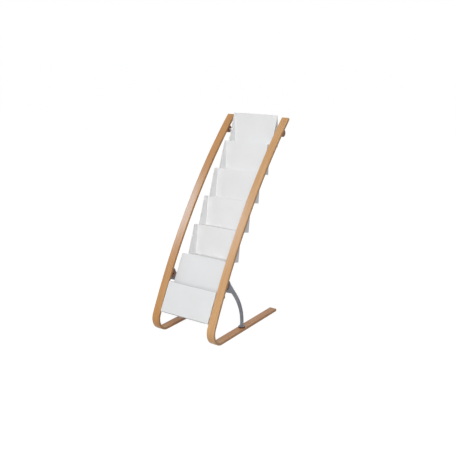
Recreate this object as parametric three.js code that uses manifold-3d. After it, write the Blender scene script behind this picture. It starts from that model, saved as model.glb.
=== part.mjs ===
// Periodical display rack: two bentwood rails carry a cascade of open display trays above a bottom pocket.
// Millimetres, +Z up, the front faces -Y. The origin lies on the floor, under the middle of the rack.
import * as THREE from 'three';
import { mergeVertices } from 'three/addons/utils/BufferGeometryUtils.js';
import Module from 'manifold-3d';

const wasm = await Module();
wasm.setup();

const rad = THREE.MathUtils.degToRad;

// Clearance between pieces that seat on each other, and round a shank in its hole
const SEAT_GAP = 0.3;
const HOLE_GAP = 0.3;

// Bentwood rails: a foot on the floor, a tight front bend and one long arc that leans back more and more,
// up to the upper bosses and a little beyond
const RAIL_GAP = 12;
const RAIL_WIDTH = 38;
const RAIL_THICK = 12;
const RAIL_EDGE_RADIUS = 2.2;
const FOOT_LENGTH = 460;
const BEND_RADIUS = 62;
const RISE_LEAN = rad(25.3);
const RISE_BEYOND = 69;

// Display trays: back panel, two wedge side walls and a floor; the upper panels stand more upright
const TRAY_COUNT = 5;
const TRAY_WIDTH = 238;
const TRAY_WALL = 2.5;
const TRAY_LEAN = rad(13);
const TRAY_HEIGHT = 138.3;
const TRAY_TOP_DEPTH = 30.5;
const TRAY_BOTTOM_DEPTH = 40.7;
const TRAY_FRONT_RUN = 17;
const TRAY_CORNER_RADIUS = 6;
const TOP_PANEL_RISE = 4;
const HANGER_BACK = 7.07;
const HANGER_DROP = 74.69;

// Flange behind each panel top, on which the floor of the tray above stands
const FLANGE_DROP = 4.5;
const FLANGE_MARGIN = 9.7;
const POST_RADIUS = 5;
const POST_HEIGHT = 9;
const TRAY_STEP_BACK = 53.3;
const JOINT_SCREW_SPREAD = 160;
const JOINT_SCREW_INSET = 8.5;

// Bottom pocket: a wide front panel flush with the rails, a back panel above it, and cheeks behind
const POCKET_LEAN = rad(28.3);
const POCKET_FORWARD = 8.9;
const POCKET_RISE = 1;
const POCKET_BACK_HEIGHT = 280;
const POCKET_FRONT_HEIGHT = 142;
const POCKET_DEPTH = 23;
const POCKET_SIDE_GAP = 2.5;
const POCKET_CORNER_RADIUS = 8;
const END_INSET = 0.5;
const CHEEK_HEIGHT = 165;
const CHEEK_INSET = 2;
const PAD_RADIUS = 4;
const PAD_INSET = 37;
const PAD_DEPTH = 8;
const PAD_SCREW_BITE = 12;
const POCKET_SINK = 2.2;
const COLUMN_Z = 333.4;

// Round wooden bosses behind the rails: the upper pair carries the top tray, the struts grip the lower pair
const BOSS_RADIUS = 17;
const BOSS_SEAT = 15.5;
const BOSS_EDGE_RADIUS = 1.5;
const BOSS_INSET = 7;
const BOSS_HOLE_DEPTH = 8.3;
const BOSS_SINK_DEPTH = 6;
const BOSS_SCREW_SHARE = 0.7;
const UPPER_BOSS_LENGTH = 22;
const LOWER_BOSS_Z = 247.5;
const LOWER_BOSS_LENGTH = 17;
const BOLT_RADIUS = 2.5;
const BOLT_HEAD_RADIUS = 4.5;
const BOLT_HEAD_HEIGHT = 3.6;

// Small screws
const SCREW_RADIUS = 1.9;
const SCREW_HEAD_RADIUS = 3.6;
const SCREW_HEAD_HEIGHT = 2.2;
const SCREW_BITE = 7;

// Struts: a curved channel stem, a jaw round the lower boss with two feet on the rail, and a round base
const STRUT_WIDTH = 12;
const STRUT_BASE_Y = 181;
const STRUT_STEM_LOW = 10;
const STRUT_STEM_HIGH = 14;
const STRUT_PLATE_LENGTH = 62;
const STRUT_PLATE_WIDTH = 31;
const STRUT_PLATE_THICK = 4;
const STRUT_SCREW_SPREAD = 44;
const JAW_GAP = 2.5;
const JAW_WALL = 6;
const STRUT_REACH = 68;
const STRUT_DROP = 53.5;
const STRUT_BASE_RADIUS = 14;
const STRUT_BASE_THICK = 5;
const STRUT_GROOVE_DEPTH = 2.5;
const STRUT_GROOVE_WIDTH = 5;
const STRUT_SLOT_LENGTH = 12;
const STRUT_SLOT_WIDTH = 5;
const STRUT_SLOT_SHARE = 0.93;
const STRUT_GROOVE_START = 0.12;
const STRUT_GROOVE_END = 0.8;
const STRUT_LOW_PULL = [0.05, 0.36];
const STRUT_HIGH_PULL = [0.26, 0.3];
const STRUT_BOLT_BITE = 8;
const SEAT_RADIUS = 15;
const SEAT_THICK = 3.5;
const SINK_RADIUS = 5;
const SINK_DEPTH = 3;
const SINK_RECESS = 1;

// Mesh steps, and the length by which a cutting body passes through a wall
const ROUND_SIDES = 12;
const DISC_SIDES = 24;
const ARC_STEPS = 8;
const STEM_STEPS = 12;
const PASS = 20;

// Materials, one instance for each mesh
const LOOKS = {
  beech: { color: 0xc99a66, roughness: 0.5, metalness: 0 },
  tray: { color: 0xeceeef, roughness: 0.45, metalness: 0 },
  brown: { color: 0x6b4630, roughness: 0.5, metalness: 0 },
  strut: { color: 0x7d828c, roughness: 0.4, metalness: 0.6 },
  steel: { color: 0x8b8d90, roughness: 0.35, metalness: 0.9 },
};

// Solids

function solid(geometry) {
  const bare = geometry.clone();
  bare.deleteAttribute('normal');
  bare.deleteAttribute('uv');
  const merged = mergeVertices(bare, 1e-4);
  return new wasm.Manifold(new wasm.Mesh({
    numProp: 3,
    vertProperties: new Float32Array(merged.attributes.position.array),
    triVerts: new Uint32Array(merged.index.array),
  }));
}

function surface(body) {
  const { vertProperties, triVerts } = body.getMesh();
  const geometry = new THREE.BufferGeometry();
  geometry.setAttribute('position', new THREE.BufferAttribute(new Float32Array(vertProperties), 3));
  geometry.setIndex(new THREE.BufferAttribute(new Uint32Array(triVerts), 1));
  geometry.computeVertexNormals();
  return geometry;
}

function piece(name, body, look, parent) {
  const mesh = new THREE.Mesh(surface(body), new THREE.MeshStandardMaterial(LOOKS[look]));
  mesh.name = name;
  parent.add(mesh);
  return mesh;
}

// The points of a path, without repeats where two of its curves meet
function distinct(path) {
  const points = path.getPoints(ARC_STEPS);
  return points.filter((point, i) => point.distanceTo(points[(i + 1) % points.length]) > 0.01);
}

function cleaned(outline) {
  const shape = new THREE.Shape(distinct(outline));
  shape.holes = outline.holes.map((hole) => new THREE.Path(distinct(hole)));
  return shape;
}

// An outline drawn in the side view (Y, Z), extruded along X with its middle at x
function sideSlab(outline, width, x = 0, edge = 0) {
  const geometry = new THREE.ExtrudeGeometry(cleaned(outline), {
    depth: width - 2 * edge,
    bevelEnabled: edge > 0,
    bevelThickness: edge,
    bevelSize: edge,
    bevelOffset: -edge,
    bevelSegments: 2,
  });
  geometry.translate(0, 0, edge - width / 2);
  const turn = new THREE.Matrix4().makeBasis(
    new THREE.Vector3(0, 1, 0), new THREE.Vector3(0, 0, 1), new THREE.Vector3(1, 0, 0));
  geometry.applyMatrix4(turn);
  geometry.translate(x, 0, 0);
  return solid(geometry);
}

function polygon(points) {
  return new THREE.Shape(points.map(([y, z]) => new THREE.Vector2(y, z)));
}

// A turned piece: profile points are (radius, height), from the low end of the axis to the high end
function turned(profile, axis, place, sides = ROUND_SIDES) {
  const geometry = new THREE.LatheGeometry(profile.map(([r, h]) => new THREE.Vector2(r, h)), sides);
  const turn = new THREE.Quaternion();
  turn.setFromUnitVectors(new THREE.Vector3(0, 1, 0), axis.clone().normalize());
  geometry.applyQuaternion(turn);
  geometry.translate(place.x, place.y, place.z);
  return solid(geometry);
}

function rod(radius, low, high, axis, place, sides = ROUND_SIDES) {
  return turned([[0, low], [radius, low], [radius, high], [0, high]], axis, place, sides);
}

// A pan-head screw with its head seat at place and its tip along the axis
function screwBody(radius, bite, headRadius, headHeight, axis, place) {
  const crown = headRadius * 0.6;
  const profile = [[0, -headHeight], [crown, -headHeight], [headRadius, -headHeight * 0.4], [headRadius, 0],
    [radius, 0], [radius, bite - radius], [radius * 0.4, bite], [0, bite]];
  return turned(profile, axis, place);
}

const alongX = (side) => new THREE.Vector3(side, 0, 0);
const at = (x, y, z) => new THREE.Vector3(x, y, z);

// A round outline in the side view, cut flat towards the rail at a distance from its centre
function flatRound(centre, radius, flat) {
  const open = Math.PI - Math.acos(flat / radius);
  const outline = new THREE.Shape();
  outline.absarc(centre.y, centre.z, radius, -centre.lean - open, open - centre.lean, false);
  return outline;
}

// Places on the pocket, which leans back more than the column: behind and up along its back panel

const pocketTilt = POCKET_LEAN - TRAY_LEAN;
const pocketBack = -POCKET_FORWARD;
const pocketFront = pocketBack - POCKET_DEPTH;
const pocketLow = POCKET_RISE - POCKET_BACK_HEIGHT;
const pocketFrontTop = pocketLow + POCKET_FRONT_HEIGHT;

function pocketPoint(behind, up) {
  return [behind * Math.cos(pocketTilt) + up * Math.sin(pocketTilt),
    up * Math.cos(pocketTilt) - behind * Math.sin(pocketTilt)];
}

// Places in the leaning column of trays, measured back and up from its foot at the bottom pocket

const trayStepUp = TRAY_HEIGHT - FLANGE_DROP + SEAT_GAP;
const trayCorner = (step) => ({ back: step * TRAY_STEP_BACK, up: step * trayStepUp });

function leaned(back, up) {
  return new THREE.Vector2(
    back * Math.cos(TRAY_LEAN) + up * Math.sin(TRAY_LEAN),
    up * Math.cos(TRAY_LEAN) - back * Math.sin(TRAY_LEAN));
}

// The column stands where the middle of the pocket's front lies just behind the line of the rails' fronts
const bendTop = new THREE.Vector2(
  -BEND_RADIUS * Math.cos(RISE_LEAN), BEND_RADIUS + BEND_RADIUS * Math.sin(RISE_LEAN));
const pocketMiddle = leaned(...pocketPoint(pocketFront, (pocketLow + pocketFrontTop) / 2));
const railLine = bendTop.x + (COLUMN_Z + pocketMiddle.y - bendTop.y) * Math.tan(RISE_LEAN);
const columnFoot = new THREE.Vector2(railLine + POCKET_SINK - pocketMiddle.x, COLUMN_Z);
const columnPlace = (back, up) => leaned(back, up).add(columnFoot);

const topCorner = trayCorner(TRAY_COUNT);
const hanger = columnPlace(topCorner.back + HANGER_BACK, topCorner.up - HANGER_DROP);

// Rail outline and places on it: the rise leaves the bend along its lean and ends on the upper boss's seat

const railPitch = TRAY_WIDTH + 2 * RAIL_GAP + RAIL_WIDTH;
const railInner = railPitch / 2 - RAIL_WIDTH / 2;
const bossDepth = RAIL_THICK + SEAT_GAP + BOSS_SEAT;

const riseAcross = new THREE.Vector2(Math.cos(RISE_LEAN), -Math.sin(RISE_LEAN));
const toHanger = hanger.clone().sub(bendTop);
const riseRadius = (toHanger.lengthSq() - bossDepth ** 2) / (2 * (toHanger.dot(riseAcross) - bossDepth));
const riseMiddle = bendTop.clone().addScaledVector(riseAcross, riseRadius);

// The point of the rail at height z, at a depth below its front face, with the lean there
function railPoint(z, depth) {
  const radius = riseRadius - depth;
  const lean = Math.asin((z - riseMiddle.y) / radius);
  return { y: riseMiddle.x - radius * Math.cos(lean), z, lean };
}

const topLean = railPoint(hanger.y, bossDepth).lean + RISE_BEYOND / riseRadius;

function railOutline() {
  const outline = new THREE.Shape();
  outline.moveTo(FOOT_LENGTH, 0);
  outline.lineTo(0, 0);
  outline.absarc(0, BEND_RADIUS, BEND_RADIUS, 1.5 * Math.PI, Math.PI - RISE_LEAN, true);
  outline.absarc(riseMiddle.x, riseMiddle.y, riseRadius, Math.PI - RISE_LEAN, Math.PI - topLean, true);
  const back = riseRadius - RAIL_THICK;
  outline.lineTo(riseMiddle.x - back * Math.cos(topLean), riseMiddle.y + back * Math.sin(topLean));
  outline.absarc(riseMiddle.x, riseMiddle.y, back, Math.PI - topLean, Math.PI - RISE_LEAN, false);
  outline.absarc(0, BEND_RADIUS, BEND_RADIUS - RAIL_THICK, Math.PI - RISE_LEAN, 1.5 * Math.PI, false);
  outline.lineTo(FOOT_LENGTH, RAIL_THICK);
  return outline;
}

// Boss places, with the direction away from the rail's back
const bossInner = railInner + BOSS_INSET;

function bossPlace(name, height, length) {
  const axis = railPoint(height, bossDepth);
  const away = at(0, Math.cos(axis.lean), -Math.sin(axis.lean));
  const screwX = bossInner + BOSS_SCREW_SHARE * length;
  return { name, axis, away, length, screwX };
}

const upperBoss = bossPlace('upper', hanger.y, UPPER_BOSS_LENGTH);
const lowerBoss = bossPlace('lower', LOWER_BOSS_Z, LOWER_BOSS_LENGTH);
const bossSpot = ({ axis, screwX }, side) => at(side * screwX, axis.y, axis.z);

// Pads on the pocket's ends, which meet the rails, and their screws
const pocketHalf = railInner - POCKET_SIDE_GAP;
const endMiddle = pocketHalf - END_INSET - TRAY_WALL / 2;
const padSeat = endMiddle - TRAY_WALL / 2 - SEAT_GAP;
const padPlace = (name, up) => ({ name, spot: pocketPoint(pocketFront + PAD_DEPTH, up) });
const pads = [
  padPlace('upper', pocketFrontTop - PAD_INSET),
  padPlace('lower', pocketLow + PAD_INSET),
];
const padInRack = ({ spot }, x) => {
  const { x: y, y: z } = columnPlace(...spot);
  return at(x, y, z);
};

// Strut places

const footTop = RAIL_THICK;
const seatLow = footTop + SEAT_GAP;
const strutLow = seatLow + SEAT_THICK + SEAT_GAP;
const plateSag = STRUT_PLATE_LENGTH ** 2 / (8 * (riseRadius - RAIL_THICK));
const plateAlong = new THREE.Vector2(Math.sin(lowerBoss.axis.lean), Math.cos(lowerBoss.axis.lean));
const plateAway = new THREE.Vector2(lowerBoss.away.y, lowerBoss.away.z);
const plateDepth = BOSS_SEAT - plateSag;

// A point of the strut's plate, along the rail from the lower boss and away from the rail
function platePoint(along, away) {
  return new THREE.Vector2(lowerBoss.axis.y, lowerBoss.axis.z)
    .addScaledVector(plateAlong, along)
    .addScaledVector(plateAway, away - plateDepth);
}

const strutScrewBite = STRUT_PLATE_THICK + 2 * SEAT_GAP + plateSag + SCREW_BITE;
const strutScrewSide = (STRUT_WIDTH + STRUT_PLATE_WIDTH) / 4;
const strutScrews = [
  { name: 'upper', along: STRUT_SCREW_SPREAD / 2, shift: strutScrewSide },
  { name: 'lower', along: -STRUT_SCREW_SPREAD / 2, shift: -strutScrewSide },
];

// Bentwood rail, drilled for the screws of its bosses, pocket and strut, and for the strut's base bolt
function rail(side) {
  const x = side * railPitch / 2;
  const down = at(0, 0, -1);
  const screwHole = SCREW_RADIUS + HOLE_GAP;
  let body = sideSlab(railOutline(), RAIL_WIDTH, x, RAIL_EDGE_RADIUS);
  for (const boss of [upperBoss, lowerBoss]) {
    const depth = BOSS_SEAT + SEAT_GAP + SCREW_BITE + HOLE_GAP;
    body = body.subtract(rod(screwHole, 0, depth, boss.away.clone().negate(), bossSpot(boss, side)));
  }
  for (const pad of pads) {
    const place = padInRack(pad, side * railInner);
    body = body.subtract(rod(screwHole, -PASS, PAD_SCREW_BITE + HOLE_GAP, alongX(side), place));
  }
  for (const { along, shift } of strutScrews) {
    const spot = platePoint(along, STRUT_PLATE_THICK + SEAT_GAP);
    const place = at(x + side * shift, spot.x, spot.y);
    const drill = lowerBoss.away.clone().negate();
    body = body.subtract(rod(screwHole, 0, strutScrewBite + HOLE_GAP, drill, place));
  }
  body = body.subtract(rod(BOLT_RADIUS + HOLE_GAP, -PASS, PASS, down, at(x, STRUT_BASE_Y, footTop)));
  const sink = rod(SINK_RADIUS + HOLE_GAP, 0, PASS, down, at(x, STRUT_BASE_Y, SINK_DEPTH + HOLE_GAP));
  return body.subtract(sink);
}

// Depth of a tray at its top: each panel stands more upright than the one below, up to none at the top tray
function trayTopDepth(number) {
  const climb = (TRAY_COUNT - number) / Math.max(TRAY_COUNT - 1, 1);
  return TRAY_WALL + (TRAY_TOP_DEPTH - TRAY_WALL) * (1 - climb ** 2);
}

// Side outline of a tray, with its front top corner rounded
function trayOutline(topDepth, rise) {
  const slope = new THREE.Vector2(-TRAY_FRONT_RUN, -TRAY_HEIGHT).normalize();
  const round = Math.min(TRAY_CORNER_RADIUS, topDepth / 2);
  const outline = new THREE.Shape();
  outline.moveTo(-TRAY_FRONT_RUN, -TRAY_HEIGHT);
  outline.lineTo(slope.x * round, rise + slope.y * round);
  outline.quadraticCurveTo(0, rise, round, rise);
  outline.lineTo(topDepth, rise);
  outline.lineTo(TRAY_BOTTOM_DEPTH, -TRAY_HEIGHT);
  return outline;
}

// Hollow of a tray, open to the front and the top
function trayHollow(topDepth, rise) {
  const run = (TRAY_BOTTOM_DEPTH - topDepth) / (TRAY_HEIGHT + rise);
  const panel = (up) => topDepth - TRAY_WALL - run * (up - rise);
  const floor = TRAY_WALL - TRAY_HEIGHT;
  const front = -PASS - TRAY_FRONT_RUN;
  return polygon([[panel(PASS), PASS], [panel(floor), floor], [front, floor], [front, PASS]]);
}

// Flange and screw posts behind a panel top
const flangeTop = -FLANGE_DROP;
const flangeLow = flangeTop - TRAY_WALL;
const jointBack = TRAY_STEP_BACK - TRAY_FRONT_RUN + JOINT_SCREW_INSET;
const flangeBack = jointBack + FLANGE_MARGIN;
const jointSides = [-JOINT_SCREW_SPREAD / 2, JOINT_SCREW_SPREAD / 2];

function flange(front) {
  let body = sideSlab(polygon([[front, flangeLow], [flangeBack, flangeLow], [flangeBack, flangeTop],
    [front, flangeTop]]), TRAY_WIDTH);
  for (const x of jointSides) {
    const low = flangeTop - POST_HEIGHT;
    body = body.add(rod(POST_RADIUS, low, flangeTop, at(0, 0, 1), at(x, jointBack, 0)));
  }
  return body;
}

// Holes for the joint screws through a flange and its posts, or through the floor of the tray above
function jointHoles(back, middle) {
  return jointSides.map((x) => rod(SCREW_RADIUS + HOLE_GAP, -PASS, PASS, at(0, 0, 1), at(x, back, middle)));
}

// Display tray, in the column's frame with its front top corner at zero: the top one hangs from its walls,
// and each of the others has a flange for the tray above
function tray(number) {
  const isTop = number === 1;
  const topDepth = trayTopDepth(number);
  const rise = isTop ? TOP_PANEL_RISE : 0;
  let body = sideSlab(trayOutline(topDepth, rise), TRAY_WIDTH);
  body = body.subtract(sideSlab(trayHollow(topDepth, rise), TRAY_WIDTH - 2 * TRAY_WALL));
  const holes = jointHoles(jointBack - TRAY_STEP_BACK, -TRAY_HEIGHT);
  if (isTop) {
    holes.push(hangerHole());
  } else {
    body = body.add(flange(topDepth - TRAY_WALL / 2));
    holes.push(...jointHoles(jointBack, 0));
  }
  return holes.reduce((rest, hole) => rest.subtract(hole), body);
}

// Hole for the hanger bolts through both walls of the top tray
function hangerHole() {
  const place = at(0, HANGER_BACK, -HANGER_DROP);
  return rod(BOLT_RADIUS + HOLE_GAP, -TRAY_WIDTH, TRAY_WIDTH, alongX(1), place);
}

function pocketSlab(points, width, x) {
  return sideSlab(polygon(points.map(([behind, up]) => pocketPoint(behind, up))), width, x);
}

// An outline through the given corners, each rounded where its edges are long enough
function rounded(corners, radius) {
  const towards = (from, to) => from.clone().lerp(to, Math.min(radius / from.distanceTo(to), 0.5));
  const outline = new THREE.Shape();
  corners.forEach((corner, i) => {
    const start = towards(corner, corners.at(i - 1));
    const end = towards(corner, corners[(i + 1) % corners.length]);
    if (i === 0) {
      outline.moveTo(start.x, start.y);
    } else {
      outline.lineTo(start.x, start.y);
    }
    outline.quadraticCurveTo(corner.x, corner.y, end.x, end.y);
  });
  return outline;
}

// A panel of the pocket, from its front face at a place behind, with its corners given across and up
function pocketPanel(behind, corners) {
  const outline = rounded(corners.map(([x, up]) => new THREE.Vector2(x, up)), POCKET_CORNER_RADIUS);
  const geometry = new THREE.ExtrudeGeometry(cleaned(outline), { depth: TRAY_WALL, bevelEnabled: false });
  geometry.rotateX(Math.PI / 2);
  geometry.translate(0, behind + TRAY_WALL, 0);
  geometry.rotateX(-pocketTilt);
  return solid(geometry);
}

// Bottom pocket: one moulding in the column's frame, with a slot in front and cheeks under its rear flange
function pocket() {
  const narrow = TRAY_WIDTH / 2;
  const wideLeft = [[-pocketHalf, pocketLow], [-pocketHalf, pocketFrontTop]];
  const wideRight = [[pocketHalf, pocketFrontTop], [pocketHalf, pocketLow]];
  const upper = [[-narrow, pocketFrontTop], [-narrow, POCKET_RISE], [narrow, POCKET_RISE],
    [narrow, pocketFrontTop]];
  let body = pocketPanel(pocketBack, [...wideLeft, ...upper, ...wideRight]);
  body = body.add(pocketPanel(pocketFront, [...wideLeft, ...wideRight]));
  const frontMiddle = pocketFront + TRAY_WALL / 2;
  const backMiddle = pocketBack + TRAY_WALL / 2;
  const floorLow = pocketLow + POCKET_CORNER_RADIUS;
  const floorMiddle = floorLow + TRAY_WALL / 2;
  const floorTop = floorLow + TRAY_WALL;
  body = body.add(pocketSlab([[frontMiddle, floorLow], [backMiddle, floorLow], [backMiddle, floorTop],
    [frontMiddle, floorTop]], 2 * endMiddle, 0));
  const endTop = pocketFrontTop - POCKET_CORNER_RADIUS;
  const endPoints = [[frontMiddle, floorMiddle], [backMiddle, floorMiddle], [backMiddle, endTop],
    [frontMiddle, endTop]];
  const cheekX = TRAY_WIDTH / 2 - CHEEK_INSET - TRAY_WALL / 2;
  const cheekTop = flangeLow + TRAY_WALL / 2;
  const cheekBack = flangeBack - CHEEK_INSET;
  const cheekFront = pocketPoint(backMiddle, flangeLow);
  const cheekPoints = [cheekFront, pocketPoint(backMiddle, -CHEEK_HEIGHT),
    [cheekBack, flangeLow - TRAY_WALL], [cheekBack, cheekTop], [cheekFront[0], cheekTop]];
  for (const side of [-1, 1]) {
    body = body.add(pocketSlab(endPoints, TRAY_WALL, side * endMiddle));
    body = body.add(sideSlab(polygon(cheekPoints), TRAY_WALL, side * cheekX));
    for (const { spot } of pads) {
      const place = at(side * endMiddle, ...spot);
      const out = alongX(side);
      body = body.add(rod(PAD_RADIUS, 0, railInner - SEAT_GAP - endMiddle, out, place));
      body = body.subtract(rod(SCREW_RADIUS + HOLE_GAP, -TRAY_WALL, PASS, out, place));
    }
  }
  const [flangeFront] = pocketPoint(backMiddle, flangeTop);
  body = body.add(flange(flangeFront));
  return jointHoles(jointBack, 0).reduce((rest, hole) => rest.subtract(hole), body);
}

// Boss with a flat seat on the rail's back, a blind hole in its inner end and a sunk screw hole
function boss(side, place) {
  const { axis, away, length } = place;
  const outline = flatRound(axis, BOSS_RADIUS, BOSS_SEAT);
  const middle = side * (bossInner + length / 2);
  let body = sideSlab(outline, length, middle, BOSS_EDGE_RADIUS);
  const inner = at(side * bossInner, axis.y, axis.z);
  body = body.subtract(rod(BOLT_RADIUS + HOLE_GAP, -PASS, BOSS_HOLE_DEPTH, alongX(side), inner));
  const spot = bossSpot(place, side);
  body = body.subtract(rod(SCREW_RADIUS + HOLE_GAP, -PASS, PASS, away, spot));
  const sinkLow = BOSS_RADIUS - BOSS_SINK_DEPTH;
  return body.subtract(rod(SCREW_HEAD_RADIUS + HOLE_GAP, sinkLow, PASS, away, spot));
}

// Centre line of the strut's stem, from its base to the head
const stemTop = platePoint(0, 0).add(new THREE.Vector2(STRUT_REACH, -STRUT_DROP));
const stemBase = new THREE.Vector2(STRUT_BASE_Y, strutLow + STRUT_BASE_THICK / 2);
const stemRise = stemTop.y - stemBase.y;
const [lowAside, lowUp] = STRUT_LOW_PULL;
const [highAside, highDown] = STRUT_HIGH_PULL;
const stem = new THREE.CubicBezierCurve(
  stemBase,
  new THREE.Vector2(stemBase.x + lowAside * stemRise, stemBase.y + lowUp * stemRise),
  new THREE.Vector2(stemTop.x + highAside * stemRise, stemTop.y - highDown * stemRise),
  stemTop);

// A strip along the stem between two shares of its length, with half its depth given by a function
function stemSides(from, to, halfDepth) {
  const front = [];
  const behind = [];
  for (let i = 0; i <= STEM_STEPS; i += 1) {
    const share = from + (to - from) * i / STEM_STEPS;
    const middle = stem.getPoint(share);
    const along = stem.getTangent(share);
    const across = new THREE.Vector2(along.y, -along.x).multiplyScalar(halfDepth(share));
    behind.push(middle.clone().add(across));
    front.push(middle.clone().sub(across));
  }
  return { front, behind };
}

const stemHalf = (share) => (STRUT_STEM_LOW + (STRUT_STEM_HIGH - STRUT_STEM_LOW) * share) / 2;

function strutOutline() {
  const { front, behind } = stemSides(0, 1, stemHalf);
  const half = STRUT_PLATE_LENGTH / 2;
  const sunk = STRUT_PLATE_THICK / 2;
  const high = platePoint(half, sunk);
  const low = platePoint(-half, sunk);
  const armHigh = platePoint(half - STRUT_PLATE_THICK / 2, STRUT_PLATE_THICK);
  const armLow = platePoint(STRUT_PLATE_THICK / 2 - half, STRUT_PLATE_THICK);
  const outline = new THREE.Shape([...behind, armHigh, high, low, armLow, ...front.reverse()]);
  const slot = new THREE.Path();
  const slotMiddle = stem.getPoint(STRUT_SLOT_SHARE);
  const slotAlong = stem.getTangent(STRUT_SLOT_SHARE);
  slot.absellipse(slotMiddle.x, slotMiddle.y, STRUT_SLOT_LENGTH / 2, STRUT_SLOT_WIDTH / 2,
    0, 2 * Math.PI, false, Math.atan2(slotAlong.y, slotAlong.x));
  outline.holes.push(slot);
  return outline;
}

// Strut: a channelled casting with its jaw, rail feet and round base in one piece
function strut(side) {
  const x = side * railPitch / 2;
  let body = sideSlab(strutOutline(), STRUT_WIDTH, x);
  const half = STRUT_PLATE_LENGTH / 2;
  const corners = [platePoint(-half, 0), platePoint(half, 0), platePoint(half, STRUT_PLATE_THICK),
    platePoint(-half, STRUT_PLATE_THICK)];
  body = body.add(sideSlab(new THREE.Shape(corners), STRUT_PLATE_WIDTH, x));
  const jawRadius = BOSS_RADIUS + JAW_GAP;
  const jawFlat = plateDepth - STRUT_PLATE_THICK / 2;
  body = body.add(sideSlab(flatRound(lowerBoss.axis, jawRadius + JAW_WALL, jawFlat), STRUT_WIDTH, x));
  const { axis, away } = lowerBoss;
  const jawReach = STRUT_PLATE_WIDTH / 2 + 1;
  body = body.subtract(rod(jawRadius, -jawReach, jawReach, alongX(1), at(x, axis.y, axis.z), DISC_SIDES));
  const up = at(0, 0, 1);
  const base = [[0, 0], [STRUT_BASE_RADIUS, 0], [STRUT_BASE_RADIUS, STRUT_BASE_THICK * 0.6],
    [STRUT_STEM_LOW * 0.8, STRUT_BASE_THICK], [0, STRUT_BASE_THICK]];
  body = body.add(turned(base, up, at(x, STRUT_BASE_Y, strutLow), DISC_SIDES));
  const { front, behind } = stemSides(STRUT_GROOVE_START, STRUT_GROOVE_END, () => STRUT_GROOVE_WIDTH / 2);
  const groove = new THREE.Shape([...behind, ...front.reverse()]);
  for (const face of [-1, 1]) {
    const cutWidth = 2 * STRUT_GROOVE_DEPTH;
    body = body.subtract(sideSlab(groove, cutWidth, x + face * STRUT_WIDTH / 2));
  }
  for (const { along, shift } of strutScrews) {
    const spot = platePoint(along, 0);
    const place = at(x + side * shift, spot.x, spot.y);
    body = body.subtract(rod(SCREW_RADIUS + HOLE_GAP, -PASS, PASS / 2, away, place));
  }
  const boltTop = STRUT_BASE_THICK + STRUT_BOLT_BITE + HOLE_GAP;
  return body.subtract(rod(BOLT_RADIUS + HOLE_GAP, -PASS, boltTop, up, at(x, STRUT_BASE_Y, strutLow)));
}

function strutSeat(side) {
  const hole = BOLT_RADIUS + HOLE_GAP;
  const ring = [[hole, 0], [SEAT_RADIUS, 0], [SEAT_RADIUS, SEAT_THICK], [hole, SEAT_THICK], [hole, 0]];
  return turned(ring, at(0, 0, 1), at(side * railPitch / 2, STRUT_BASE_Y, seatLow), DISC_SIDES);
}

// Countersunk bolt up through the foot and the seat disc into the strut's base
function strutBolt(side) {
  const tip = strutLow + STRUT_BASE_THICK + STRUT_BOLT_BITE;
  const point = BOLT_RADIUS / 2;
  const profile = [[0, SINK_RECESS], [SINK_RADIUS, SINK_RECESS], [SINK_RADIUS, SINK_DEPTH],
    [BOLT_RADIUS, SINK_DEPTH], [BOLT_RADIUS, tip - point], [BOLT_RADIUS - point, tip], [0, tip]];
  return turned(profile, at(0, 0, 1), at(side * railPitch / 2, STRUT_BASE_Y, 0));
}

// Bolt from inside the top tray's wall into the upper boss
function hangerBolt(side) {
  const { axis } = upperBoss;
  const headSeat = TRAY_WIDTH / 2 - TRAY_WALL - SEAT_GAP;
  const bite = bossInner + BOSS_HOLE_DEPTH - HOLE_GAP - headSeat;
  return screwBody(BOLT_RADIUS, bite, BOLT_HEAD_RADIUS, BOLT_HEAD_HEIGHT, alongX(side),
    at(side * headSeat, axis.y, axis.z));
}

// Screw from behind through a boss into the rail
function bossScrew(side, place) {
  const headSeat = BOSS_RADIUS - BOSS_SINK_DEPTH + SEAT_GAP;
  const bite = headSeat + BOSS_SEAT + SEAT_GAP + SCREW_BITE;
  const spot = bossSpot(place, side).addScaledVector(place.away, headSeat);
  return screwBody(SCREW_RADIUS, bite, SCREW_HEAD_RADIUS, SCREW_HEAD_HEIGHT,
    place.away.clone().negate(), spot);
}

// Screw from inside the pocket through its end and pad into the rail
function pocketScrew(side, pad) {
  const bite = railInner + PAD_SCREW_BITE - padSeat;
  return screwBody(SCREW_RADIUS, bite, SCREW_HEAD_RADIUS, SCREW_HEAD_HEIGHT, alongX(side),
    padInRack(pad, side * padSeat));
}

// Screw down through a tray floor into the flange post below it
function jointScrew(x) {
  const headSeat = flangeTop + SEAT_GAP + TRAY_WALL + SEAT_GAP;
  const bite = headSeat - flangeTop + SCREW_BITE;
  return screwBody(SCREW_RADIUS, bite, SCREW_HEAD_RADIUS, SCREW_HEAD_HEIGHT, at(0, 0, -1),
    at(x, jointBack, headSeat));
}

function strutScrew(side, { along, shift }) {
  const spot = platePoint(along, STRUT_PLATE_THICK + SEAT_GAP);
  return screwBody(SCREW_RADIUS, strutScrewBite, SCREW_HEAD_RADIUS, SCREW_HEAD_HEIGHT,
    lowerBoss.away.clone().negate(), at(side * (railPitch / 2 + shift), spot.x, spot.y));
}

// Assembly, with the leaning column of trays as a group of its own
const rack = new THREE.Group();
const column = new THREE.Group();
column.position.set(0, columnFoot.x, columnFoot.y);
column.rotation.x = -TRAY_LEAN;
rack.add(column);

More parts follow.
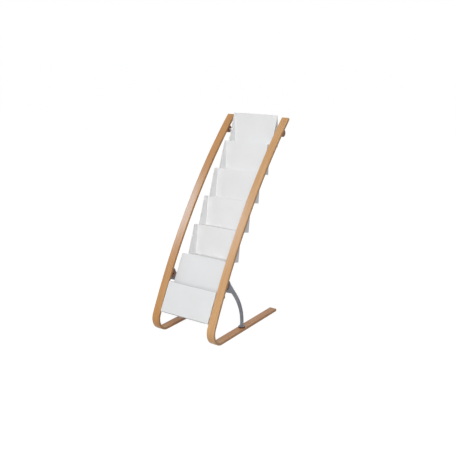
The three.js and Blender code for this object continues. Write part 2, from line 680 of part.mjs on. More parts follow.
for (let number = 1; number <= TRAY_COUNT; number += 1) {
  const step = TRAY_COUNT + 1 - number;
  const { back, up } = trayCorner(step);
  piece(`tray_${number}`, tray(number), 'tray', column).position.set(0, back, up);
  const below = trayCorner(step - 1);
  for (const x of jointSides) {
    const name = `joint_screw_${number}_${x < 0 ? 'left' : 'right'}`;
    piece(name, jointScrew(x), 'steel', column).position.set(0, below.back, below.up);
  }
}
piece('bottom_pocket', pocket(), 'tray', column);

for (const [sideName, side] of [['left', -1], ['right', 1]]) {
  piece(`rail_${sideName}`, rail(side), 'beech', rack);
  for (const place of [upperBoss, lowerBoss]) {
    piece(`${place.name}_boss_${sideName}`, boss(side, place), 'brown', rack);
    piece(`boss_screw_${place.name}_${sideName}`, bossScrew(side, place), 'steel', rack);
  }
  piece(`hanger_bolt_${sideName}`, hangerBolt(side), 'steel', rack);
  for (const pad of pads) {
    piece(`pocket_screw_${pad.name}_${sideName}`, pocketScrew(side, pad), 'steel', rack);
  }
  piece(`strut_${sideName}`, strut(side), 'strut', rack);
  piece(`strut_seat_${sideName}`, strutSeat(side), 'brown', rack);
  piece(`strut_bolt_${sideName}`, strutBolt(side), 'steel', rack);
  for (const screw of strutScrews) {
    piece(`strut_screw_${screw.name}_${sideName}`, strutScrew(side, screw), 'steel', rack);
  }
}

// The rack stands on the floor with its middle over the origin
const box = new THREE.Box3().setFromObject(rack, true);
rack.position.y = -(box.min.y + box.max.y) / 2;

export default rack;
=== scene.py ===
import math

import bpy
from mathutils import Matrix, Vector


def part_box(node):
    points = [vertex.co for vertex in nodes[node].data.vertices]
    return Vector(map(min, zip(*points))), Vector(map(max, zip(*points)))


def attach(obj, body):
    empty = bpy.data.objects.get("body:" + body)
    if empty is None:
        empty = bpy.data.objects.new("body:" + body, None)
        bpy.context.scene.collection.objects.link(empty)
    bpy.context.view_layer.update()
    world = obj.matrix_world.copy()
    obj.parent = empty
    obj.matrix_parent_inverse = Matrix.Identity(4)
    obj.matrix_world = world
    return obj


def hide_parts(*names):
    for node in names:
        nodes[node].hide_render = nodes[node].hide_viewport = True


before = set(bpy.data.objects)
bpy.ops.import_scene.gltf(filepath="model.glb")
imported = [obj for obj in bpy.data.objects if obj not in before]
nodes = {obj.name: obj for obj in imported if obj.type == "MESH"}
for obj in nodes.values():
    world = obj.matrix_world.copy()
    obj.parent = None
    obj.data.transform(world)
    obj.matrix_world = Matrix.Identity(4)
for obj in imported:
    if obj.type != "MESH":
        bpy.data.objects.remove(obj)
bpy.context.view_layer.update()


# Bentwood rails: two runners of laminated beech, bent over a mould from foot to top, with rounded
# edges and a clear satin lacquer. They carry everything else. The grain follows the bend, and the
# glue lines of the plies show on the narrow sides, which are also painted darker overall as a
# painted shade.
BODY = "rack"
SIDES = ("left", "right")
MERGE_DISTANCE = 0.000004
NEAR = 0.000020
MERGE_ANGLE = math.radians(0.4)
SHARP_ANGLE = math.radians(40)
RAIL_BEND_RADIUS = 0.062
RAIL_RISE_RADIUS = 2.870
RAIL_RISE_LEAN = math.radians(25.3)
RAIL_PLY = 0.0015
RAIL_MIDDLE = 0.150
RAIL_SIDE = (0.0180, 0.0188)
RAIL_SMOOTH = math.radians(35)
BEECH_TONES = {
    "left": ((0.605, 0.326, 0.130, 1), (0.500, 0.242, 0.086, 1)),
    "right": ((0.650, 0.386, 0.185, 1), (0.550, 0.298, 0.125, 1)),
}
# Painted shade: the feet are multiplied darker and redder than the rise, for the dimmer light on
# their tops.
BEECH_FOOT_SHADE = (0.920, 0.800, 0.770, 1)
BEECH_FLECK = (0.330, 0.150, 0.055, 1)
# The glue colour: real glue lines, and also painted shade on the whole of the narrow sides.
BEECH_GLUE_AND_SIDE_SHADE = (0.250, 0.120, 0.050, 1)
BEECH_STREAKS = {"scales": (5, 160, 160), "detail": 4.0, "roughness": 0.6}
BEECH_CLOUDS = {"scales": (3, 14, 14), "detail": 2.0, "roughness": 0.5}
BEECH_FLECKS = {"scales": (70, 1100, 1100), "detail": 2.0, "roughness": 0.55}
BEECH_STREAK_SHARE = 0.6
BEECH_TONE_RANGE = (0.36, 0.64)
BEECH_FLECK_RANGE = (0.60, 0.72)
BEECH_FLECK_SHARE = 0.45
BEECH_FOOT_SHADE_START = (0.0, 0.04)
GLUE_HALF_WIDTH = 0.07
GLUE_AND_SIDE_SHADE_SHARE = 0.55
BEECH_ROUGHNESS = (0.08, 0.28)
BEECH_GRAIN_STREAKS = 0.5
BEECH_GRAIN_BUMP = (0.00012, 0.1)
BEECH_SPECULAR = 0.22
LACQUER_WEIGHT = 0.05
LACQUER_ROUGHNESS = 0.2


def select_only(piece):
    bpy.ops.object.select_all(action="DESELECT")
    piece.select_set(True)
    bpy.context.view_layer.objects.active = piece


def merged_copy(node):
    """A copy of a CAD node that stands for it, with its loose triangles merged into whole faces."""
    mesh = nodes[node].data.copy()
    mesh.materials.clear()
    piece = bpy.data.objects.new(node + "_finished", mesh)
    bpy.context.scene.collection.objects.link(piece)
    select_only(piece)
    bpy.ops.object.mode_set(mode="EDIT")
    bpy.ops.mesh.select_all(action="SELECT")
    bpy.ops.mesh.customdata_custom_splitnormals_clear()
    bpy.ops.mesh.remove_doubles(threshold=MERGE_DISTANCE)
    bpy.ops.mesh.dissolve_limited(angle_limit=MERGE_ANGLE)
    bpy.ops.object.mode_set(mode="OBJECT")
    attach(piece, BODY)
    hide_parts(node)
    return piece


def break_edges(piece, width):
    """Sharp edges take a small round, as a sanded or moulded edge has."""
    select_only(piece)
    rounding = piece.modifiers.new("Broken edges", "BEVEL")
    rounding.width = width
    rounding.segments = 2
    rounding.limit_method = "ANGLE"
    rounding.angle_limit = SHARP_ANGLE
    rounding.miter_outer = "MITER_ARC"
    bpy.ops.object.modifier_apply(modifier=rounding.name)
    bpy.ops.object.mode_set(mode="EDIT")
    bpy.ops.mesh.select_all(action="SELECT")
    bpy.ops.mesh.dissolve_degenerate(threshold=MERGE_DISTANCE)
    bpy.ops.object.mode_set(mode="OBJECT")


def smooth_faces(piece, angle):
    """Curved faces shade smooth, and flat ones stay flat up to their rounded edges."""
    select_only(piece)
    bpy.ops.object.shade_smooth_by_angle(angle=angle)
    flat_faces = piece.modifiers.new("Flat faces", "WEIGHTED_NORMAL")
    flat_faces.keep_sharp = True
    bpy.ops.object.modifier_apply(modifier=flat_faces.name)


def add_node(tree, kind, **settings):
    node = tree.nodes.new(kind)
    for name, value in settings.items():
        setattr(node, name, value)
    return node


def feed(tree, socket, value):
    """Links another node's output to a socket, or sets the socket's own value."""
    if isinstance(value, bpy.types.NodeSocket):
        tree.links.new(value, socket)
    else:
        socket.default_value = value


def math_node(tree, operation, *values):
    node = add_node(tree, "ShaderNodeMath", operation=operation)
    for socket, value in zip(node.inputs, values):
        feed(tree, socket, value)
    return node.outputs[0]


def mix_values(tree, share, first, second):
    node = add_node(tree, "ShaderNodeMix", data_type="FLOAT")
    for number, value in ((0, share), (2, first), (3, second)):
        feed(tree, node.inputs[number], value)
    return node.outputs[0]


def mix_colours(tree, share, first, second, blend="MIX"):
    node = add_node(tree, "ShaderNodeMix", data_type="RGBA", blend_type=blend)
    for number, value in ((0, share), (6, first), (7, second)):
        feed(tree, node.inputs[number], value)
    return node.outputs[2]


def ramp(tree, value, low, high):
    node = add_node(tree, "ShaderNodeMapRange", interpolation_type="SMOOTHSTEP")
    tree.links.new(value, node.inputs["Value"])
    node.inputs["From Min"].default_value = low
    node.inputs["From Max"].default_value = high
    return node.outputs["Result"]


def grain_noise(tree, place, scales, detail, roughness):
    """A noise with its own scale along each axis, so that it can run with the wood."""
    stretch = add_node(tree, "ShaderNodeVectorMath", operation="MULTIPLY")
    tree.links.new(place, stretch.inputs[0])
    stretch.inputs[1].default_value = scales
    node = add_node(tree, "ShaderNodeTexNoise")
    tree.links.new(stretch.outputs[0], node.inputs["Vector"])
    node.inputs["Scale"].default_value = 1.0
    node.inputs["Detail"].default_value = detail
    node.inputs["Roughness"].default_value = roughness
    return node.outputs["Fac"]


def bump(tree, height, distance, strength):
    node = add_node(tree, "ShaderNodeBump")
    tree.links.new(height, node.inputs["Height"])
    node.inputs["Distance"].default_value = distance
    node.inputs["Strength"].default_value = strength
    return node.outputs["Normal"]


def finish_surface(tree, shader, colour, gloss, roughness, relief, depth):
    """The colour of a surface, with a roughness and a fine relief from its textures."""
    tree.links.new(colour, shader.inputs["Base Color"])
    rough = math_node(tree, "MULTIPLY_ADD", gloss, *roughness)
    tree.links.new(rough, shader.inputs["Roughness"])
    tree.links.new(bump(tree, relief, *depth), shader.inputs["Normal"])


def new_group(name, inputs, outputs):
    group = bpy.data.node_groups.new(name, "ShaderNodeTree")
    for label, kind, value in inputs:
        socket = group.interface.new_socket(label, in_out="INPUT", socket_type=kind)
        if value is not None:
            socket.default_value = value
    for label, kind in outputs:
        group.interface.new_socket(label, in_out="OUTPUT", socket_type=kind)
    return group, group.nodes.new("NodeGroupInput"), group.nodes.new("NodeGroupOutput")


def place_group(tree, group, **values):
    node = add_node(tree, "ShaderNodeGroup", node_tree=group)
    for name, value in values.items():
        feed(tree, node.inputs[name.replace("_", " ")], value)
    return node


def new_material(name):
    material = bpy.data.materials.new(name)
    material.use_nodes = True
    shader = material.node_tree.nodes["Principled BSDF"]
    place = add_node(material.node_tree, "ShaderNodeTexCoord").outputs["Object"]
    return material, material.node_tree, shader, place


def hypotenuse(tree, first, second):
    squares = math_node(tree, "ADD", math_node(tree, "MULTIPLY", first, first),
                        math_node(tree, "MULTIPLY", second, second))
    return math_node(tree, "SQRT", squares)


def weighed(tree, first, share, second):
    """Two values added, the first by its share and the second by the rest."""
    return math_node(tree, "ADD", math_node(tree, "MULTIPLY", first, share),
                     math_node(tree, "MULTIPLY", second, 1 - share))


def off_rail_middle(tree, x):
    """Sideways distance from the middle of the nearer rail."""
    from_middle = math_node(tree, "SUBTRACT", math_node(tree, "ABSOLUTE", x), RAIL_MIDDLE)
    return math_node(tree, "ABSOLUTE", from_middle)


def rail_run_group():
    """Distance along a rail from its bend, across it, and down from its outer face."""
    group, enter, leave = new_group("Rail run", [("Place", "NodeSocketVector", None)],
                                    [("Run", "NodeSocketVector")])
    split = add_node(group, "ShaderNodeSeparateXYZ")
    group.links.new(enter.outputs["Place"], split.inputs[0])
    x, y, z = split.outputs
    rail_low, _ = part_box("rail_left")
    back = math_node(group, "SUBTRACT", y, rail_low.y + RAIL_BEND_RADIUS)
    above = math_node(group, "SUBTRACT", z, RAIL_BEND_RADIUS)

    turn = math_node(group, "ARCTAN2", math_node(group, "MULTIPLY", back, -1.0),
                     math_node(group, "MULTIPLY", above, -1.0))
    bend_run = math_node(group, "MULTIPLY", turn, RAIL_BEND_RADIUS)
    bend_radius = hypotenuse(group, back, above)
    bend_depth = math_node(group, "SUBTRACT", RAIL_BEND_RADIUS, bend_radius)

    middle_y = (RAIL_RISE_RADIUS - RAIL_BEND_RADIUS) * math.cos(RAIL_RISE_LEAN)
    middle_z = (RAIL_BEND_RADIUS - RAIL_RISE_RADIUS) * math.sin(RAIL_RISE_LEAN)
    rise_y = math_node(group, "SUBTRACT", middle_y, back)
    rise_z = math_node(group, "SUBTRACT", above, middle_z)
    lean = math_node(group, "ARCTAN2", rise_z, rise_y)
    bend_end = RAIL_BEND_RADIUS * (math.pi / 2 + RAIL_RISE_LEAN)
    rise_start = bend_end - RAIL_RISE_RADIUS * RAIL_RISE_LEAN
    rise_run = math_node(group, "MULTIPLY_ADD", lean, RAIL_RISE_RADIUS, rise_start)
    rise_radius = hypotenuse(group, rise_y, rise_z)
    rise_depth = math_node(group, "SUBTRACT", RAIL_RISE_RADIUS, rise_radius)

    climb = math_node(group, "ADD", math_node(group, "MULTIPLY", back, math.sin(RAIL_RISE_LEAN)),
                      math_node(group, "MULTIPLY", above, math.cos(RAIL_RISE_LEAN)))
    on_rise = math_node(group, "GREATER_THAN", climb, 0.0)
    on_foot = math_node(group, "MULTIPLY", math_node(group, "GREATER_THAN", back, 0.0),
                        math_node(group, "LESS_THAN", above, 0.0))
    run = mix_values(group, on_rise, bend_run, rise_run)
    depth = mix_values(group, on_rise, bend_depth, rise_depth)
    run = mix_values(group, on_foot, run, math_node(group, "MULTIPLY", back, -1.0))
    depth = mix_values(group, on_foot, depth, z)
    join = add_node(group, "ShaderNodeCombineXYZ")
    for value, socket in zip((run, x, depth), join.inputs):
        group.links.new(value, socket)
    group.links.new(join.outputs[0], leave.inputs["Run"])
    return group


rail_run = rail_run_group()


def beech_material(side):
    pale, tan = BEECH_TONES[side]
    material, tree, shader, place = new_material("Bent beech " + side)
    run = place_group(tree, rail_run, Place=place).outputs["Run"]
    streaks = grain_noise(tree, run, **BEECH_STREAKS)
    clouds = grain_noise(tree, run, **BEECH_CLOUDS)
    flecks = grain_noise(tree, run, **BEECH_FLECKS)
    tone = weighed(tree, streaks, BEECH_STREAK_SHARE, clouds)
    colour = mix_colours(tree, ramp(tree, tone, *BEECH_TONE_RANGE), pale, tan)
    on_fleck = ramp(tree, flecks, *BEECH_FLECK_RANGE)
    fleck = math_node(tree, "MULTIPLY", on_fleck, BEECH_FLECK_SHARE)
    colour = mix_colours(tree, fleck, colour, BEECH_FLECK)
    split = add_node(tree, "ShaderNodeSeparateXYZ")
    tree.links.new(run, split.inputs[0])
    along, across, depth = split.outputs
    # Painted shade: the whole foot is multiplied darker and redder, standing in for the dimmer light
    # on the foot tops.
    on_foot = ramp(tree, math_node(tree, "MULTIPLY", along, -1.0), *BEECH_FOOT_SHADE_START)
    colour = mix_colours(tree, on_foot, colour, BEECH_FOOT_SHADE, "MULTIPLY")
    ply = math_node(tree, "FRACT", math_node(tree, "DIVIDE", depth, RAIL_PLY))
    line = math_node(tree, "ABSOLUTE", math_node(tree, "SUBTRACT", ply, 0.5))
    on_glue = math_node(tree, "LESS_THAN", line, GLUE_HALF_WIDTH)
    glue = math_node(tree, "MULTIPLY", on_glue, GLUE_AND_SIDE_SHADE_SHARE)
    colour = mix_colours(tree, glue, colour, BEECH_GLUE_AND_SIDE_SHADE)
    # Painted shade: the narrow sides are darkened overall towards the glue colour, on top of their
    # real glue lines.
    cut_side = ramp(tree, off_rail_middle(tree, across), *RAIL_SIDE)
    glue_and_shade_side = mix_colours(tree, GLUE_AND_SIDE_SHADE_SHARE, colour, BEECH_GLUE_AND_SIDE_SHADE)
    colour = mix_colours(tree, cut_side, colour, glue_and_shade_side)
    raised = math_node(tree, "MULTIPLY", streaks, BEECH_GRAIN_STREAKS)
    grain = math_node(tree, "ADD", flecks, raised)
    finish_surface(tree, shader, colour, streaks, BEECH_ROUGHNESS, grain, BEECH_GRAIN_BUMP)
    shader.inputs["Specular IOR Level"].default_value = BEECH_SPECULAR
    shader.inputs["Coat Weight"].default_value = LACQUER_WEIGHT
    shader.inputs["Coat Roughness"].default_value = LACQUER_ROUGHNESS
    return material


for side in SIDES:
    rail = merged_copy("rail_" + side)
    smooth_faces(rail, RAIL_SMOOTH)
    rail.data.materials.append(beech_material(side))


# Wooden bosses: short turned dowels, stained brown and screwed to the backs of the rails. The upper
# pair carries the top tray, and the struts' jaws reach round the lower pair. Each has a blind hole
# in its inner end, countersunk, and the hole and its cone are painted dark as a painted shade.
BOSS_SMOOTH = math.radians(35)
BORE_REACH = 0.0034
BORE_COUNTERSINK = 0.0012
BROWN_TONES = ((0.205, 0.090, 0.047, 1), (0.310, 0.150, 0.082, 1))
# Painted shade inside the bore and its countersink.
BORE_SHADE_TONES = ((0.020, 0.008, 0.003, 1), (0.050, 0.020, 0.009, 1))
RINGS = {"Scale": 55, "Distortion": 7, "Detail": 2, "Detail Scale": 0.6}
RING_SHARE = 0.25
PORES = {"scales": (120, 1500, 1500), "detail": 2.0, "roughness": 0.5}
PORE_BUMP = (0.00008, 0.4)
STAIN_RANGE = (0.2, 0.8)
STAIN_ROUGHNESS = (0.2, 0.32)
STAIN_SPECULAR = 0.25


def pick(piece, kind, test):
    """Edit mode, with only the edges or polygons that pass a test selected."""
    select_only(piece)
    bpy.ops.object.mode_set(mode="EDIT")
    bpy.ops.mesh.select_mode(type="EDGE" if kind == "edges" else "FACE")
    bpy.ops.mesh.select_all(action="DESELECT")
    bpy.ops.object.mode_set(mode="OBJECT")
    for element in getattr(piece.data, kind):
        element.select = test(element)
    bpy.ops.object.mode_set(mode="EDIT")


def stained_wood_material(finish, tones):
    material, tree, shader, place = new_material(finish)
    bands = add_node(tree, "ShaderNodeTexWave", bands_direction="Z")
    tree.links.new(place, bands.inputs["Vector"])
    for name, value in RINGS.items():
        bands.inputs[name].default_value = value
    pores = grain_noise(tree, place, **PORES)
    tone = weighed(tree, bands.outputs["Fac"], RING_SHARE, pores)
    colour = mix_colours(tree, ramp(tree, tone, *STAIN_RANGE), *tones)
    finish_surface(tree, shader, colour, pores, STAIN_ROUGHNESS, pores, PORE_BUMP)
    shader.inputs["Specular IOR Level"].default_value = STAIN_SPECULAR
    return material


def countersink_bore(boss, node):
    """The rim of the blind hole opens into a cone, and the hole and the cone are painted dark, a
    painted shade.
    """
    low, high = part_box(node)
    middle = (low + high) / 2
    inner_end = min(low.x, high.x, key=abs)
    corners = [corner.co for corner in boss.data.vertices]

    def near_axis(index):
        corner = corners[index]
        return math.hypot(corner.y - middle.y, corner.z - middle.z) < BORE_REACH

    def on_end(index):
        return abs(corners[index].x - inner_end) < NEAR

    for face in boss.data.polygons:
        face.material_index = int(all(near_axis(index) for index in face.vertices))
    pick(boss, "edges", lambda edge: all(near_axis(i) and on_end(i) for i in edge.vertices))
    bpy.ops.mesh.bevel(offset=BORE_COUNTERSINK, segments=1, material=1)
    bpy.ops.object.mode_set(mode="OBJECT")


brown_wood = stained_wood_material("Brown stained wood", BROWN_TONES)
bore_shade = stained_wood_material("Bore, painted shade", BORE_SHADE_TONES)
for side in SIDES:
    for node in ("upper_boss_" + side, "lower_boss_" + side):
        boss = merged_copy(node)
        boss.data.materials.append(brown_wood)
        boss.data.materials.append(bore_shade)
        countersink_bore(boss, node)
        smooth_faces(boss, BOSS_SMOOTH)


# Struts: curved metal castings with a channelled stem, painted blue-grey. An open jaw with two feet
# is screwed to the rail round the lower boss, and the walls of the slot in the neck take a bright
# metal finish, a painted highlight. The round base stands in a turned collar of darker wood on the
# rail's foot, and is bolted from below.
STRUT_EDGE = 0.0009
STRUT_SMOOTH = math.radians(40)
STRUT_CHANNEL = (0.0036, 0.0052)
SLOT_MIDDLE = (-0.12127, 0.18985)
SLOT_REACH = 0.0072
FLAT_ON = 0.9
EDGE_ON = 0.1
PAINT_RIM = ((0.245, 0.255, 0.292, 1), (0.185, 0.194, 0.228, 1))
PAINT_CHANNEL = ((0.480, 0.465, 0.500, 1), (0.390, 0.378, 0.408, 1))
COLLAR_TONES = ((0.050, 0.018, 0.009, 1), (0.125, 0.052, 0.027, 1))
PAINT_SCALES = {"Cloud_Scale": 25.0, "Fine_Scale": 700.0}
PAINT_ROUGHNESS = (0.16, 0.30)
PAINT_BUMP = (0.00012, 0.5)
CLOUD_RANGE = (0.3, 0.7)
CHANNEL_FACING = (0.5, 0.8)
# Painted highlight: the slot walls take this bright metal to make a light spot.
SLOT_HIGHLIGHT_TONES = ((0.860, 0.865, 0.870, 1), (0.640, 0.645, 0.650, 1))
METAL_SCALES = {"Cloud_Scale": 180.0, "Fine_Scale": 2500.0}
METAL_ROUGHNESS = (0.25, 0.22)
METAL_BUMP = (0.00004, 0.4)
COLLAR_SIDES = 64
COLLAR_RADIUS = 0.0150
COLLAR_HEIGHT = 0.0054
COLLAR_RIM = 0.0008
COLLAR_HOLE = 0.0028
COLLAR_EDGE = 0.0003


def surface_variation_group():
    """Soft clouds and a fine texture, shared by the painted, moulded and metal finishes."""
    group, enter, leave = new_group(
        "Surface variation",
        [("Place", "NodeSocketVector", None), ("Cloud Scale", "NodeSocketFloat", 12.0),
         ("Fine Scale", "NodeSocketFloat", 600.0)],
        [("Clouds", "NodeSocketFloat"), ("Fine", "NodeSocketFloat")])
    for scale, result, detail in (("Cloud Scale", "Clouds", 3.0), ("Fine Scale", "Fine", 2.0)):
        texture = add_node(group, "ShaderNodeTexNoise")
        group.links.new(enter.outputs["Place"], texture.inputs["Vector"])
        group.links.new(enter.outputs[scale], texture.inputs["Scale"])
        texture.inputs["Detail"].default_value = detail
        group.links.new(texture.outputs["Fac"], leave.inputs[result])
    return group


surface_variation = surface_variation_group()


def cast_paint_material():
    material, tree, shader, place = new_material("Blue-grey cast paint")
    varied = place_group(tree, surface_variation, Place=place, **PAINT_SCALES)
    clouds = ramp(tree, varied.outputs["Clouds"], *CLOUD_RANGE)
    split = add_node(tree, "ShaderNodeSeparateXYZ")
    tree.links.new(place, split.inputs[0])
    rim = ramp(tree, off_rail_middle(tree, split.outputs[0]), *STRUT_CHANNEL)
    facing = add_node(tree, "ShaderNodeSeparateXYZ")
    tree.links.new(add_node(tree, "ShaderNodeTexCoord").outputs["Normal"], facing.inputs[0])
    sideways = ramp(tree, math_node(tree, "ABSOLUTE", facing.outputs[0]), *CHANNEL_FACING)
    channel = math_node(tree, "MULTIPLY", math_node(tree, "SUBTRACT", 1.0, rim), sideways)
    colour = mix_colours(tree, channel, mix_colours(tree, clouds, *PAINT_RIM),
                         mix_colours(tree, clouds, *PAINT_CHANNEL))
    fine = varied.outputs["Fine"]
    finish_surface(tree, shader, colour, fine, PAINT_ROUGHNESS, fine, PAINT_BUMP)
    return material


def bright_metal_material(name, tones):
    material, tree, shader, place = new_material(name)
    varied = place_group(tree, surface_variation, Place=place, **METAL_SCALES)
    colour = mix_colours(tree, varied.outputs["Clouds"], *tones)
    fine = varied.outputs["Fine"]
    finish_surface(tree, shader, colour, fine, METAL_ROUGHNESS, fine, METAL_BUMP)
    shader.inputs["Metallic"].default_value = 1.0
    return material


def brighten_slot(strut):
    """The walls of the slot in the neck take a bright metal finish, a painted highlight."""
    for face in strut.data.polygons:
        from_slot = math.hypot(face.center.y - SLOT_MIDDLE[0], face.center.z - SLOT_MIDDLE[1])
        face.material_index = int(abs(face.normal.x) < EDGE_ON and from_slot < SLOT_REACH)


def model_collar():
    """A disc hollowed to a shallow cup for the strut's base, with a hole for its bolt."""
    low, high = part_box("strut_seat_left")
    middle = (low + high) / 2
    bpy.ops.object.select_all(action="DESELECT")
    bpy.ops.mesh.primitive_cylinder_add(
        vertices=COLLAR_SIDES, radius=COLLAR_RADIUS, depth=COLLAR_HEIGHT,
        location=(middle.x, middle.y, low.z + COLLAR_HEIGHT / 2))
    collar = bpy.context.object
    bpy.ops.object.transform_apply(location=True, rotation=True, scale=True)
    pick(collar, "polygons", lambda face: face.normal.z > FLAT_ON)
    bpy.ops.mesh.inset(thickness=COLLAR_RIM)
    hollow = high.z - low.z - COLLAR_HEIGHT
    bpy.ops.mesh.extrude_region_move(TRANSFORM_OT_translate={"value": (0, 0, hollow)})
    bpy.ops.mesh.inset(thickness=COLLAR_RADIUS - COLLAR_RIM - COLLAR_HOLE)
    bpy.ops.mesh.delete(type="FACE")
    bpy.ops.object.mode_set(mode="OBJECT")
    pick(collar, "polygons", lambda face: face.normal.z < -FLAT_ON)
    bpy.ops.mesh.inset(thickness=COLLAR_RADIUS - COLLAR_HOLE)
    bpy.ops.mesh.delete(type="FACE")
    bpy.ops.mesh.select_mode(type="EDGE")
    bpy.ops.mesh.select_all(action="DESELECT")
    bpy.ops.mesh.select_non_manifold()
    bpy.ops.mesh.bridge_edge_loops()
    bpy.ops.object.mode_set(mode="OBJECT")
    break_edges(collar, COLLAR_EDGE)
    return collar


def placed_copy(piece, place):
    """A copy with a mesh of its own, which is moved to its place."""
    twin = piece.copy()
    twin.data = piece.data.copy()
    twin.data.transform(place)
    bpy.context.scene.collection.objects.link(twin)
    return twin


cast_paint = cast_paint_material()
slot_highlight = bright_metal_material("Bright slot metal, painted highlight", SLOT_HIGHLIGHT_TONES)
collar_wood = stained_wood_material("Dark collar wood", COLLAR_TONES)
collars = {"left": model_collar()}
collars["right"] = placed_copy(collars["left"], Matrix.Translation((2 * RAIL_MIDDLE, 0, 0)))
for side in SIDES:
    strut = merged_copy("strut_" + side)
    strut.data.materials.append(cast_paint)
    strut.data.materials.append(slot_highlight)
    brighten_slot(strut)
    break_edges(strut, STRUT_EDGE)
    smooth_faces(strut, STRUT_SMOOTH)
    collar = collars[side]
    collar.name = "strut_seat_%s_finished" % side
    smooth_faces(collar, STRUT_SMOOTH)
    collar.data.materials.append(collar_wood)
    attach(collar, BODY)
    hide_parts("strut_seat_" + side)


# Bottom pocket and display trays: white mouldings with satin faces, thin walls and softly rounded
# edges. The pocket is screwed between the rails, the lowest tray stands on it, and each other tray
# stands on the rear flange of the one below.
TRAY_EDGE = 0.0007
TRAY_SMOOTH = math.radians(40)
PANEL_AREA = 0.01
PANEL_FACING = 0.7
RIM_SEAM_INSET = 0.0022
RIM_SEAM_HEIGHT = 0.0014
FOOT_SEAM_INSET = 0.0014
FOOT_SEAM_HEIGHT = 0.0026
SEAM_DEPTH = 0.0014
SEAM_MARGIN = 0.010
# Painted shade: the pocket is the same white plastic as the trays, toned a little darker.
POCKET_SHADED_TONES = ((0.770, 0.772, 0.776, 1), (0.745, 0.747, 0.751, 1))
TRAY_TONES = ((0.824, 0.826, 0.830, 1), (0.797, 0.799, 0.803, 1))
# Painted shade: the faces of the sunk seams are grey.
SEAM_SHADE_TONES = ((0.420, 0.424, 0.430, 1), (0.350, 0.354, 0.360, 1))
MOULDING_SCALES = {"Cloud_Scale": 9.0, "Fine_Scale": 1400.0}
MOULDING_ROUGHNESS = (0.12, 0.56)
MOULDING_BUMP = (0.00005, 0.4)
MOULDING_SPECULAR = 0.25
TRAY_NODES = ["tray_%d" % number for number in range(1, 6)]


def moulding_material(name, tones):
    material, tree, shader, place = new_material(name)
    varied = place_group(tree, surface_variation, Place=place, **MOULDING_SCALES)
    clouds = ramp(tree, varied.outputs["Clouds"], *CLOUD_RANGE)
    colour = mix_colours(tree, clouds, *tones)
    fine = varied.outputs["Fine"]
    finish_surface(tree, shader, colour, fine, MOULDING_ROUGHNESS, fine, MOULDING_BUMP)
    shader.inputs["Specular IOR Level"].default_value = MOULDING_SPECULAR
    return material


def cut_away(piece, cutter):
    select_only(piece)
    carving = piece.modifiers.new("Cut", "BOOLEAN")
    carving.solver = "EXACT"
    carving.object = cutter
    bpy.ops.object.modifier_apply(modifier=carving.name)
    bpy.data.objects.remove(cutter)


def sink_seams(pocket):
    """A fine line is sunk in the front panel below its rim and another above its foot, and their
    faces are painted grey, a painted shade.
    """
    panels = [face for face in pocket.data.polygons
              if face.normal.y < -PANEL_FACING and face.area > PANEL_AREA]
    panel = max(panels, key=lambda face: face.center.dot(face.normal))
    out = panel.normal.copy()
    rise = Vector((0, out.z, -out.y))
    front = out * panel.center.dot(out)
    outline = [pocket.data.vertices[index].co.copy() for index in panel.vertices]
    levels = [corner.dot(rise) for corner in outline]
    half = max(corner.x for corner in outline) - SEAM_MARGIN
    seams = ((max(levels) - RIM_SEAM_INSET, RIM_SEAM_HEIGHT),
             (min(levels) + FOOT_SEAM_INSET, FOOT_SEAM_HEIGHT))
    for level, height in seams:
        bpy.ops.object.select_all(action="DESELECT")
        bpy.ops.mesh.primitive_cube_add(size=1, location=front + rise * level)
        bar = bpy.context.object
        bar.scale = (2 * half, 2 * SEAM_DEPTH, height)
        bar.rotation_euler = (-math.atan2(out.z, -out.y), 0, 0)
        bpy.ops.object.transform_apply(location=True, rotation=True, scale=True)
        for face in bar.data.polygons:
            face.material_index = 1
        cut_away(pocket, bar)


pocket = merged_copy("bottom_pocket")
pocket.data.materials.append(moulding_material("White pocket, painted shade", POCKET_SHADED_TONES))
pocket.data.materials.append(moulding_material("Seam, painted shade", SEAM_SHADE_TONES))
break_edges(pocket, TRAY_EDGE)
sink_seams(pocket)
smooth_faces(pocket, TRAY_SMOOTH)

white_moulding = moulding_material("White tray", TRAY_TONES)
for node in TRAY_NODES:
    tray = merged_copy(node)
    tray.data.materials.append(white_moulding)
    break_edges(tray, TRAY_EDGE)
    smooth_faces(tray, TRAY_SMOOTH)


# Fasteners: steel screws and bolts that hold the trays, bosses, pocket and struts. Each pressed
# head has a cross recess. The hanger bolts inside the top tray are enamelled white, like the tray.
STEEL_TONES = ((0.560, 0.555, 0.545, 1), (0.380, 0.378, 0.372, 1))
FASTENER_EDGE = 0.0003
FASTENER_SMOOTH = math.radians(40)
HEAD_CORNERS = 12
HEAD_CROWN = 0.00216
RECESS_WIDTH = 0.0008
RECESS_SPAN = 0.0030
RECESS_DEPTH = 0.0012
RECESS_TAPER = 0.75
RECESS_LARGEST = 1.25
FASTENER_NODES = sorted(node for node in nodes if "screw" in node or "bolt" in node)


def model_recess_bit():
    """A cross-shaped bit with its middle at the origin, tapered towards its tip."""
    bpy.ops.object.select_all(action="DESELECT")
    bpy.ops.mesh.primitive_cube_add(size=RECESS_WIDTH, location=(0, 0, 0))
    bit = bpy.context.object
    pick(bit, "polygons", lambda face: abs(face.normal.z) < EDGE_ON)
    arm = (RECESS_SPAN - RECESS_WIDTH) / 2
    bpy.ops.mesh.extrude_faces_move(TRANSFORM_OT_shrink_fatten={"value": arm})
    bpy.ops.mesh.select_all(action="SELECT")
    deepen = 2 * RECESS_DEPTH / RECESS_WIDTH
    bpy.ops.transform.resize(value=(1, 1, deepen), center_override=(0, 0, 0))
    bpy.ops.object.mode_set(mode="OBJECT")
    pick(bit, "polygons", lambda face: face.normal.z < -FLAT_ON)
    bpy.ops.transform.resize(value=(RECESS_TAPER, RECESS_TAPER, 1), center_override=(0, 0, 0))
    bpy.ops.object.mode_set(mode="OBJECT")
    return bit


